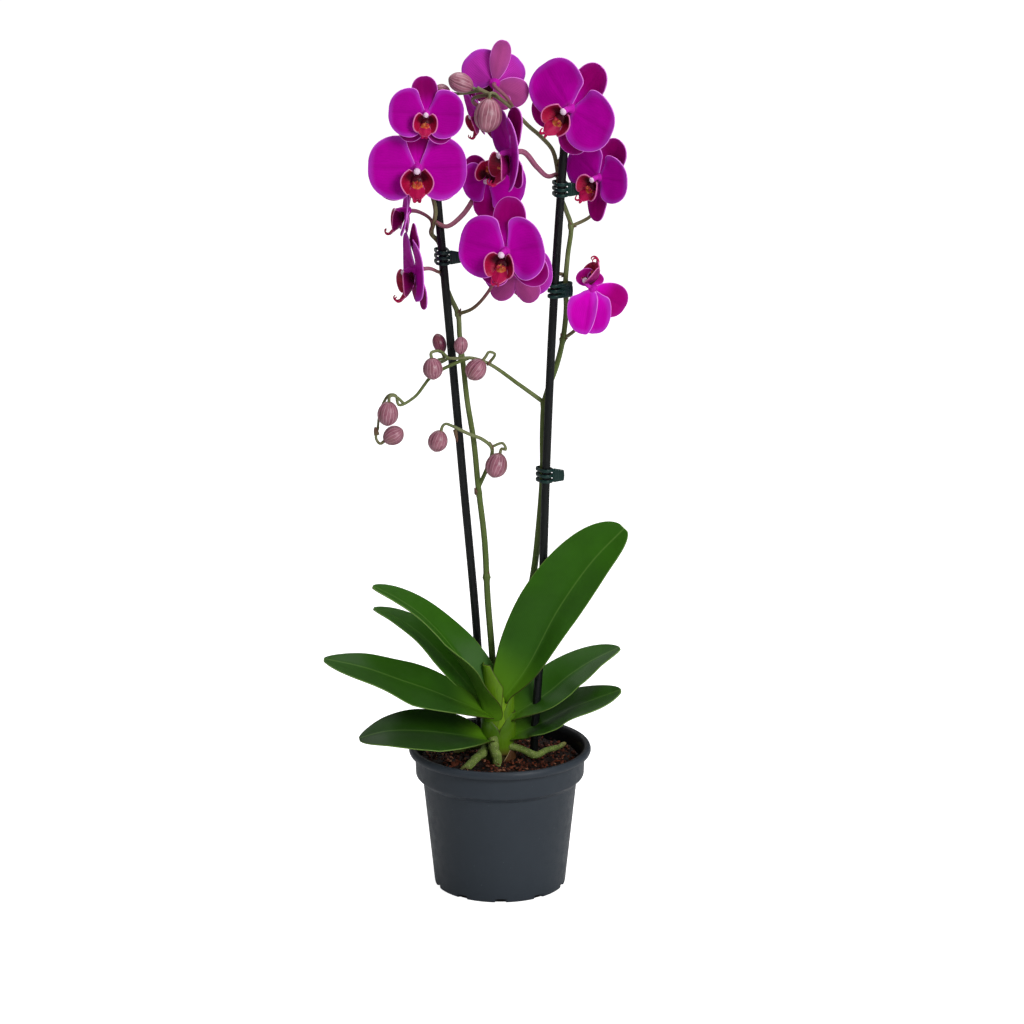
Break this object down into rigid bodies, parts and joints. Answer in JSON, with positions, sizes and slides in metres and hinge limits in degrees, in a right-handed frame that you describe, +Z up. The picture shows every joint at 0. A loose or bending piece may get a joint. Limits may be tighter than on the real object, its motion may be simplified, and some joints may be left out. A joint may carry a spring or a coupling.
{
  "type": "potted orchid",
  "caption": "Moth orchid with magenta blooms on two arched flower spikes clipped to sticks, broad green leaves, in a round nursery pot.",
  "frame": {"origin": "centre of the pot's flat underside", "axes": "+Z up, plant displayed facing -Y, +X to the viewer's right"},
  "size_m": [0.1986, 0.121, 0.5628],
  "materials": {
    "pot": "satin slate grey",
    "bark_mix": "rough dark bark and coco chips",
    "stem": "waxy yellow green sheaths",
    "leaf": "glossy waxy dark green",
    "root": "matte pale grey green velamen",
    "stake": "near black green, satin",
    "clip": "dark green, slightly glossy",
    "spike": "smooth olive green turning brown purple",
    "petal": "soft magenta with fine veins and pale margins",
    "lip": "waxy crimson with an orange callus",
    "bud": "dusty pink with darker stripes"
  },
  "bodies": {
    "root": {"pot": "pot", "substrate": "bark_mix", "stem": "stem", "leaf_1": "leaf", "leaf_2": "leaf", "leaf_3": "leaf", "leaf_4": "leaf", "leaf_5": "leaf", "leaf_6": "leaf", "leaf_7": "leaf", "root_1": "root", "root_2": "root", "root_3": "root", "root_4": "root", "stake_left": "stake", "stake_right": "stake", "clip_1": "clip", "clip_2": "clip", "clip_3": "clip", "clip_4": "clip", "spike_left": "spike", "spike_right": "spike", "bloom_1_petals": "petal", "bloom_1_lip": "lip", "bloom_2_petals": "petal", "bloom_2_lip": "lip", "bloom_3_petals": "petal", "bloom_3_lip": "lip", "bloom_4_petals": "petal", "bloom_4_lip": "lip", "bloom_5_petals": "petal", "bloom_5_lip": "lip", "bloom_6_petals": "petal", "bloom_6_lip": "lip", "bloom_7_petals": "petal", "bloom_7_lip": "lip", "bloom_8_petals": "petal", "bloom_8_lip": "lip", "bloom_9_petals": "petal", "bloom_9_lip": "lip", "bloom_10_petals": "petal", "bloom_10_lip": "lip", "bloom_11_petals": "petal", "bloom_11_lip": "lip", "bloom_12_petals": "petal", "bloom_12_lip": "lip", "bloom_13_petals": "petal", "bloom_13_lip": "lip", "bud_1": "bud", "bud_2": "bud", "bud_3": "bud", "bud_4": "bud", "bud_5": "bud", "bud_6": "bud", "bud_7": "bud", "bud_8": "bud", "bud_9": "bud", "bud_10": "bud", "bud_11": "bud"}
  },
  "joints": []
}
